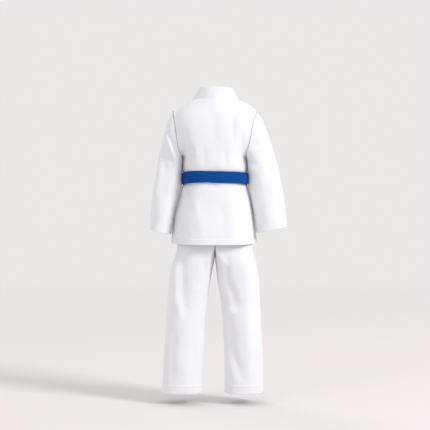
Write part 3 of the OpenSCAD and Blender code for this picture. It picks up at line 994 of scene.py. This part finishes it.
def garment(work, name, folds, held, size):
    """Presses the folds in, drapes the cloth and smooths it. Returns the fine mesh."""
    obj = work.mesh(name)
    points, normals = coordinates(obj.data) * 1000, directions(obj.data)
    for starts, back, front in folds:
        chosen = work.holders(*starts)
        for lines, side in ((back, 1), (front, -1)):
            press(points, normals, lines, chosen * np.clip(points[:, 1] * side / 12 + 0.4, 0, 1))
    ripple(points, normals, 1 - np.clip((held - 0.9) * 10, 0, 1), size)
    place(obj.data, points * MM)
    drape(obj, held)
    return refined(obj)


jacket_work = jacket_patchwork()
jacket_mesh = garment(jacket_work, "jacket_cloth",
                      [(("back", "front"), BACK_FOLDS, FRONT_FOLDS),
                       (("sleeve",), SLEEVE_BACK_FOLDS, SLEEVE_FRONT_FOLDS)],
                      hold_of_jacket(jacket_work), 0.28)
trousers_work = trousers_patchwork()
trousers_mesh = garment(trousers_work, "trousers_cloth",
                        [(("seat", "leg"), LEG_BACK_FOLDS, LEG_FRONT_FOLDS)],
                        hold_of_trousers(trousers_work), 0.35)
pieces = {**panels(jacket_mesh, jacket_work.part_names), **panels(trousers_mesh, trousers_work.part_names)}


def sew(name, node_name, body=None, bend=None):
    finish_piece(pieces[name], "white_cotton", [node_name], body, bend)


sew("back_panel", "jacket_back", "jacket")
for hand, side in HANDS:
    sew(f"front_panel_{side}", f"jacket_front_{side}", "jacket")
    for (limb, end), bend in bends(hand, side).items():
        sew(f"{limb}_cloth_{side}_{end}", f"{limb}_{side}_{end}", bend=bend)
sew("seat_cloth", "trousers_seat", "trousers")

# ---- hems, cuffs and seams on the draped cloth

jacket_spots = coordinates(jacket_mesh) * 1000
jacket_out = directions(jacket_mesh)
trousers_spots = coordinates(trousers_mesh) * 1000
trousers_out = directions(trousers_mesh)


def strip(name, work, spots, out, rows, section, slot, nodes=(), body=None, closed=False, drop=0.0):
    """Band sewn on the cloth. rows are lists of point keys from its first edge to its last."""
    numbers = np.array([[work.ids[key] for key in row] for row in rows])
    stations = spots[numbers]
    if drop:
        step = stations[0] - stations[1]
        stations[0] += step / np.linalg.norm(step, axis=1, keepdims=True) * drop
    obj = band(name, stations, out[numbers], section, under=0.4, closed=closed)
    finish_piece(obj, slot, nodes, body)


def jacket_strip(name, rows, section, body="jacket", **how):
    strip(name, jacket_work, jacket_spots, jacket_out, rows, section, "stitched_band", body=body, **how)


def trousers_strip(name, rows, section, **how):
    strip(name, trousers_work, trousers_spots, trousers_out, rows, section, "stitched_band", **how)


def grid_keys(key, columns, rows):
    """Point keys of a patch of a garment's grid, a list for each row."""
    return [[key(c, r) for c in columns] for r in rows]


def transposed(rows):
    """Strips that run up the garment take a list for each column instead."""
    return list(zip(*rows))


def from_side(hand, column):
    """Column of the back that lies so many columns in from the left or the right edge."""
    return column if hand > 0 else BACK_COLUMNS - column


HEM = puffed(2, 0.9, 0.25)
CUFF = puffed(4, 0.9, 0.25)
LEG_HEM = puffed(3, 0.9, 0.25)
WELT = [(0, 0.05), (0.15, 0.25), (0.5, 0.4), (0.85, 0.25), (1, 0.05)]
HEM_ROWS = 3
CUFF_ROWS = 4
# how far a hem reaches below the cloth's own edge
HEM_DROP = 1.0
SEAM_COLUMNS = 3

jacket_strip("hem_back", grid_keys(back_key, range(BACK_COLUMNS + 1), range(HEM_ROWS)), HEM, drop=HEM_DROP)
for hand, side in HANDS:
    front, sleeve, leg = partial(front_key, hand), partial(sleeve_key, hand), partial(leg_key, hand)
    columns = range(SIDE_COLUMNS + 1)
    back_columns = [from_side(hand, c) for c in columns]
    jacket_strip(f"hem_front_{side}", grid_keys(front, columns, range(HEM_ROWS)), HEM, drop=HEM_DROP)
    jacket_strip(f"shoulder_seam_{side}", grid_keys(back_key, back_columns, (ROWS, ROWS - 1)), WELT)
    jacket_strip(f"armhole_seam_back_{side}",
                 transposed(grid_keys(back_key, back_columns[:SEAM_COLUMNS], range(LOW_ROWS, ROWS - 1))),
                 WELT)
    jacket_strip(f"armhole_seam_front_{side}",
                 transposed(grid_keys(front, range(SEAM_COLUMNS), range(ROWS - 2, LOW_ROWS - 1, -1))), WELT)
    jacket_strip(f"side_seam_{side}",
                 transposed(grid_keys(back_key, back_columns[:2], range(VENT_ROW, LOW_ROWS + 1))), WELT)
    jacket_strip(f"cuff_band_{side}",
                 grid_keys(sleeve, range(RING), range(SLEEVE_ROWS, SLEEVE_ROWS - CUFF_ROWS, -1)), CUFF,
                 nodes=[f"cuff_{side}"], body=f"lower_sleeve_{side}", closed=True, drop=HEM_DROP)
    trousers_strip(f"leg_hem_band_{side}",
                   grid_keys(leg, range(LEG_RING), range(LEG_ROWS, LEG_ROWS - CUFF_ROWS, -1)), LEG_HEM,
                   nodes=[f"leg_{side}_hem"], body=f"lower_leg_{side}", closed=True, drop=HEM_DROP)

# ---- collar band

# degrees that the band leans up from the cloth: at the chest, and round the neck
CHEST_LEAN = 25
COLLAR_LEAN = 60.6
BAND_LEAN = [(0, 0), (CHEST_Z, CHEST_LEAN)]
LAPEL_STEPS = 3 * ROWS + 1
COLLAR_STEPS = 24
# how far the band's free edge stands behind its seam beside the neck, and how much further at the back
COLLAR_Y = 5
COLLAR_DEEP = 30


def lapel_edges(hand):
    """Sewn and free edges of the band on a front, from the hem up to the shoulder."""
    sewn, free = [], []
    for row in np.linspace(0, ROWS, LAPEL_STEPS):
        turn = clamp((row - LOW_ROWS - HOLE_ROWS) / DOME_ROWS)
        z = row_height(row)
        lean = math.radians(lerp(CHEST_LEAN, COLLAR_LEAN, turn) if turn else table(z, BAND_LEAN))
        side = band_side(row)
        half_w = jacket_point(1, min(row, LOW_ROWS + HOLE_ROWS))[0]

        def own_side(at_side):
            x, y, z_there = jacket_point(abs(at_side) * hand, row)
            return on_front(hand, at_side, row, (math.copysign(x, hand * at_side), y, z_there))

        seam = own_side(side)
        flat = own_side(side - BAND_W * math.cos(lean) / half_w)
        upright_y = seam[1] + COLLAR_Y * math.sin(math.pi / 2 * turn)
        sewn.append(seam)
        free.append([seam[0] - hand * BAND_W * math.cos(lean), lerp(flat[1], upright_y, smooth(turn)),
                     seam[2] + BAND_W * math.sin(lean)])
    return np.array(sewn), np.array(free)


def collar_edges():
    """Edges of the band round the back of the neck, from the wearer's left to the right."""
    sewn, free = [], []
    lean = math.radians(COLLAR_LEAN)
    left, right = jacket_point(NECK_SHARE, ROWS), jacket_point(-NECK_SHARE, ROWS)
    half = (left[0] - right[0]) / 2
    for step in range(1, COLLAR_STEPS):
        turn = math.pi * step / COLLAR_STEPS
        side = math.cos(turn) * NECK_SHARE
        foot = jacket_point(side, ROWS, neck_angle(side))
        sewn.append(foot * [0.985, 0.985, 1] - [0, 0, 1.4])
        free.append([(half - BAND_W * math.cos(lean)) * math.cos(turn),
                     COLLAR_Y + COLLAR_DEEP * math.sin(turn),
                     left[2] + BAND_W * math.sin(lean) + 1.5 * math.sin(turn)])
    return np.array(sewn), np.array(free)


left_edges, right_edges, collar = lapel_edges(1), lapel_edges(-1), collar_edges()
band_sewn = np.vstack([left_edges[0], collar[0], right_edges[0][::-1]])
band_free = np.vstack([left_edges[1], collar[1], right_edges[1][::-1]])
collar_range = range(LAPEL_STEPS, LAPEL_STEPS + COLLAR_STEPS - 1)
band_out = np.array([[0.4 * math.copysign(1, spot[0]), 1.0 if i in collar_range else -1.0, 0.3]
                     for i, spot in enumerate(band_sewn)])
finish_piece(
    band("collar_band", [band_sewn, lerp(band_sewn, band_free, 0.5), band_free], band_out,
         puffed(6, 0.9, 0.4), 1.6),
    "stitched_band", ["collar_back", "lapel_left", "lapel_right"], "jacket")

# ---- belt

BELT_W = 35
BELT_T = 2.2
BELT_Z = -3
BELT_TILT = 5.5
BELT_PUFF = puffed(10, BELT_T / 2, 0.22, 3)
# half widths of the jacket under the belt
WAIST_X = 97.5
WAIST_Y = 74.5
WRAP_STEPS = 160
# the distance behind the middle at which the belt has risen by BELT_TILT
TILT_Y = 77


def wrap(name, proud, rise, nodes):
    """One turn of the belt round the waist. rise(x, y) lifts its line a little."""
    low, high = [], []
    for step in range(WRAP_STEPS):
        swing, back = oval(2 * math.pi * step / WRAP_STEPS, SECTION_ROUND)
        x, y = (WAIST_X + proud) * swing, (WAIST_Y + proud) * back
        z = BELT_Z + BELT_TILT * y / TILT_Y + rise(x, y)
        low.append([x, y, z - BELT_W / 2])
        high.append([x, y, z + BELT_W / 2])
    out = np.array(low) * [1, 1, 0]
    obj = band(name, [low, high], out, BELT_PUFF, BELT_T / 2, closed=True)
    finish_piece(obj, "blue_belt", nodes, "jacket")


wrap("belt_inner_turn", 2.0, lambda x, y: 3.4 * smooth((x + 10) / 70) * smooth(y / 30) - 1.0,
     ["belt_wrap_inner"])
wrap("belt_outer_turn", 4.7, lambda x, y: 0.5 * math.sin(x / 31 + 0.6) * smooth(y / 30),
     ["belt_wrap_outer"])

KNOT_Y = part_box("belt_knot")[0][1] * 1000
KNOT_Z = BELT_Z - BELT_TILT
KNOT_STEPS = 40


def swept(name, centre, across, widths, section, under, closed=False, outward=(0, -1, 0)):
    """Strip along a centre line, each place with its own way across and width."""
    centre, across = np.array(centre, float), np.array(across, float)
    across /= np.linalg.norm(across, axis=1, keepdims=True)
    half = across * np.array(widths)[:, None] / 2
    return band(name, [centre - half, centre, centre + half], outward, section, under, closed)


def knot_loop(name, middle_x, tilt, half_h, half_d, width, centre_y):
    """Turn of belt drawn tight round the knot, leaning to one side."""
    centre, across, out, widths = [], [], [], []
    lean = np.array([math.cos(tilt), 0, math.sin(tilt)])
    up = np.array([-math.sin(tilt), 0, math.cos(tilt)])
    for step in range(KNOT_STEPS):
        turn = 2 * math.pi * step / KNOT_STEPS
        widths.append(width * (1 - 0.12 * abs(math.sin(turn))))
        front = signed_pow(math.cos(turn), 0.75)
        rise = signed_pow(math.sin(turn), 0.75)
        centre.append(np.array([middle_x, centre_y - half_d * front, KNOT_Z]) + up * half_h * rise)
        across.append(lean)
        out.append(np.array([0, -half_d * front, 0]) + up * half_h * rise)
    return swept(name, centre, across, widths, puffed(8, 1.6, 0.3, 3), 1.6, True, np.array(out))


finish_piece(knot_loop("belt_knot_loop", 0, math.radians(-24), 17, 8.2, 30, KNOT_Y + 11),
             "blue_belt", ["belt_knot"], "jacket")
finish_piece(knot_loop("belt_knot_core", 1, math.radians(28), 13, 5.6, 36, KNOT_Y + 12),
             "blue_belt", (), "jacket")

TAIL_TOP_Z = -24
TAIL_END_Z = -204
TAIL_LEAN = math.tan(math.radians(8))
TAIL_STEPS = 36
TAIL_Y = -94.6
for hand, side in HANDS:
    centre, across, widths = [], [], []
    for step in range(TAIL_STEPS + 1):
        share = step / TAIL_STEPS
        z = lerp(TAIL_TOP_Z, TAIL_END_Z, share)
        drop = TAIL_TOP_Z - z
        sway = 2.2 * math.sin(share * math.pi * 1.3 + hand) * share
        x = hand * (lerp(9, 18.6, smooth(share * 6)) + (drop - 6) * TAIL_LEAN * smooth(share * 6) + sway)
        y = TAIL_Y - 0.034 * drop - 3 * math.sin(math.pi / 2 * share) ** 2 + 1.6 * hand * math.sin(share * 7)
        centre.append([x, y + (1.5 if hand < 0 else 0) * (1 - share), z])
        across.append([1, 0.06 * math.sin(share * 5 + hand), -hand * TAIL_LEAN])
        widths.append(BELT_W * lerp(0.72, 1, smooth(share * 5)))
    obj = swept(f"belt_tail_{side}", centre, across, widths, puffed(10, BELT_T, 0.22, 3), BELT_T)
    x = hand * 0.0186
    finish_piece(obj, "blue_belt", [f"belt_end_{side}"],
                 bend=("jacket", f"belt_end_{side}", (x, -0.0923, -0.027), (x, -0.0923, -0.040)))

# ---- ties, vent patches and waistband

probe = BVHTree.FromPolygons([tuple(p) for p in coordinates(jacket_mesh)],
                             [tuple(p.vertices) for p in jacket_mesh.polygons])


def front_y(x, z):
    """Where the jacket's outer face is in front of the wearer, at (x, z) in mm."""
    hit = probe.ray_cast(Vector((x * MM, -0.4, z * MM)), Vector((0, 1, 0)))[0]
    return (hit or probe.find_nearest(Vector((x * MM, -0.03, z * MM)))[0]).y * 1000


TIE_W = 13
TIE_Z = -62
TIE_STEPS = 24
TIE = puffed(2, 0.9, 0.3)


def tie(name, from_x, to_x, nodes):
    """Flat tie lying on the front between two places."""
    low, high = [], []
    for x in np.linspace(from_x, to_x, TIE_STEPS):
        sag = -1.5 * math.sin(math.pi * (x - from_x) / (to_x - from_x))
        for edge, side in ((low, -0.5), (high, 0.5)):
            z = TIE_Z + sag + side * TIE_W
            edge.append([x, front_y(x, z) - 2.2, z])
    obj = band(name, [low, high], (0, -1, 0), TIE, 0.9)
    finish_piece(obj, "stitched_band", nodes, "jacket")


tie("tie_from_lapel", -66, -96, ["outer_tie_front"])
tie("tie_from_side", -107, -97, ["outer_tie_side"])
BOW = Vector((-98, -68, TIE_Z))
BOW_TURN = math.radians(-42)
BOW_STEPS = 30
BOW_LOOP = [(2, 1, 0), (10, 4, 4), (20, 4, 0), (24, 2, -6), (18, -1, -9), (8, 0, -4), (1, 1, 0)]
# name, path, width and the CAD node it stands for
BOW_STRAPS = [
    ("left_loop", BOW_LOOP, 9, ["outer_tie_bow"]),
    ("right_loop", [(-a, b, c) for a, b, c in BOW_LOOP], 9, ()),
    ("left_end", [(1, 2, -2), (5, 2, -14), (9, 1, -28), (13, 1, -44)], 9, ()),
    ("right_end", [(-1, 2, -2), (-6, 2, -14), (-9, 1, -28), (-12, 1, -40)], 9, ()),
    ("knot", [(-6, 1, 0), (-4, 4, 0), (0, 5.5, 0), (4, 4, 0), (6, 1, 0)], 12, ()),
]


def bow_strap(name, path, width):
    """Strap of the bow. path gives (sideways, outward, up) from the bow's middle."""
    centre, across = [], []
    side = np.array([math.cos(BOW_TURN), math.sin(BOW_TURN), 0])
    out = np.array([math.sin(BOW_TURN), -math.cos(BOW_TURN), 0])
    for share in np.linspace(0, 1, BOW_STEPS):
        a, b, c = along(path, share)
        centre.append(np.array(BOW) + side * a + out * b + np.array([0, 0, c]))
        across.append(np.array([0, 0, 1]) * 0.8 + out * 0.6)
    tangents = np.gradient(np.array(centre), axis=0)
    across = np.array(across) - tangents * ((across * tangents).sum(1) / (tangents ** 2).sum(1))[:, None]
    return swept(name, centre, across, [width] * BOW_STEPS, TIE, 0.9, outward=out)


for name, path, width, nodes in BOW_STRAPS:
    finish_piece(bow_strap(f"tie_bow_{name}", path, width), "stitched_band", nodes, "jacket")

for hand, side in HANDS:
    jacket_strip(f"vent_stay_{side}",
                 [[front_key(hand, 1, r), edge_key(hand, r, "back"), back_key(from_side(hand, 1), r)]
                  for r in range(VENT_ROW, VENT_ROW + 3)], puffed(2, 1.3, 0.2), nodes=[f"vent_patch_{side}"])

WAISTBAND_ROWS = 5
trousers_strip("waistband_cloth",
               [[hip_key(1, c, r) for c in range(OUTER_COLUMNS)]
                + [hip_key(-1, c, r) for c in range(OUTER_COLUMNS, 0, -1)]
                for r in range(HIP_ROWS, HIP_ROWS - WAISTBAND_ROWS, -1)],
               puffed(3, 1.2, 0.5), nodes=["trousers_waistband"], body="trousers", closed=True)
for name in ("eyelet_left", "eyelet_right"):
    ring = frame["nodes"][name]
    ring.data.materials.clear()
    ring.data.materials.append(SLOTS["eyelet_metal"])

# ---- camera, light and floor

FLOOR_Z = -0.712
FLOOR_RADIUS = 8
CAMERA_AT = (0.0, 3.6, -0.01)
# degrees: the view's width, and how far the camera looks down
VIEW_ANGLE = 21.3
LOOK_DOWN = 1.7
# what every lamp points at
LIT_SPOT = Vector((0, 0, -0.15))


def add_camera():
    camera = bpy.data.cameras.new("camera")
    camera.sensor_width = 36
    camera.lens = camera.sensor_width / 2 / math.tan(math.radians(VIEW_ANGLE / 2))
    obj = bpy.data.objects.new("camera", camera)
    obj.location = CAMERA_AT
    obj.rotation_euler = (math.radians(90 - LOOK_DOWN), 0, math.radians(180))
    scene.collection.objects.link(obj)
    scene.camera = obj


def add_light(name, place_at, power, size):
    light = bpy.data.lights.new(name, "AREA")
    light.energy = power
    light.size = size
    obj = bpy.data.objects.new(name, light)
    obj.location = place_at
    obj.rotation_euler = (LIT_SPOT - Vector(place_at)).to_track_quat("-Z", "Y").to_euler()
    scene.collection.objects.link(obj)


def add_floor():
    """Pale floor that fades into the pale surroundings with distance."""
    bpy.ops.mesh.primitive_circle_add(vertices=96, radius=FLOOR_RADIUS, fill_type="NGON",
                                      location=(0, 0, FLOOR_Z))
    floor = bpy.context.object
    floor.name = "floor"
    material, tree = new_material("floor")
    shader = tree.nodes["Principled BSDF"]
    shader.inputs["Base Color"].default_value = (0.70, 0.67, 0.67, 1)
    shader.inputs["Roughness"].default_value = 0.9
    place_in = node(tree, "ShaderNodeTexCoord").outputs["Object"]
    length = node(tree, "ShaderNodeVectorMath", {0: place_in}, operation="LENGTH").outputs["Value"]
    near = node(tree, "ShaderNodeMapRange", {0: length, 1: 1.2, 2: 5.0, 3: 1.0, 4: 0.0},
                interpolation_type="SMOOTHSTEP").outputs[0]
    tree.links.new(near, shader.inputs["Alpha"])
    floor.data.materials.append(material)


def add_world():
    world = bpy.data.worlds.new("studio")
    world.use_nodes = True
    background = world.node_tree.nodes["Background"]
    background.inputs[0].default_value = (1, 0.985, 0.98, 1)
    background.inputs[1].default_value = 0.82
    scene.world = world
    scene.view_settings.view_transform = "Standard"


add_camera()
add_world()
add_floor()
add_light("key", (-6.8, 4.2, 4.4), 560, 2.2)
add_light("left_fill", (5.5, 6.0, 1.2), 120, 4.0)
add_light("front_fill", (6.0, -7.0, 4.0), 150, 5.0)
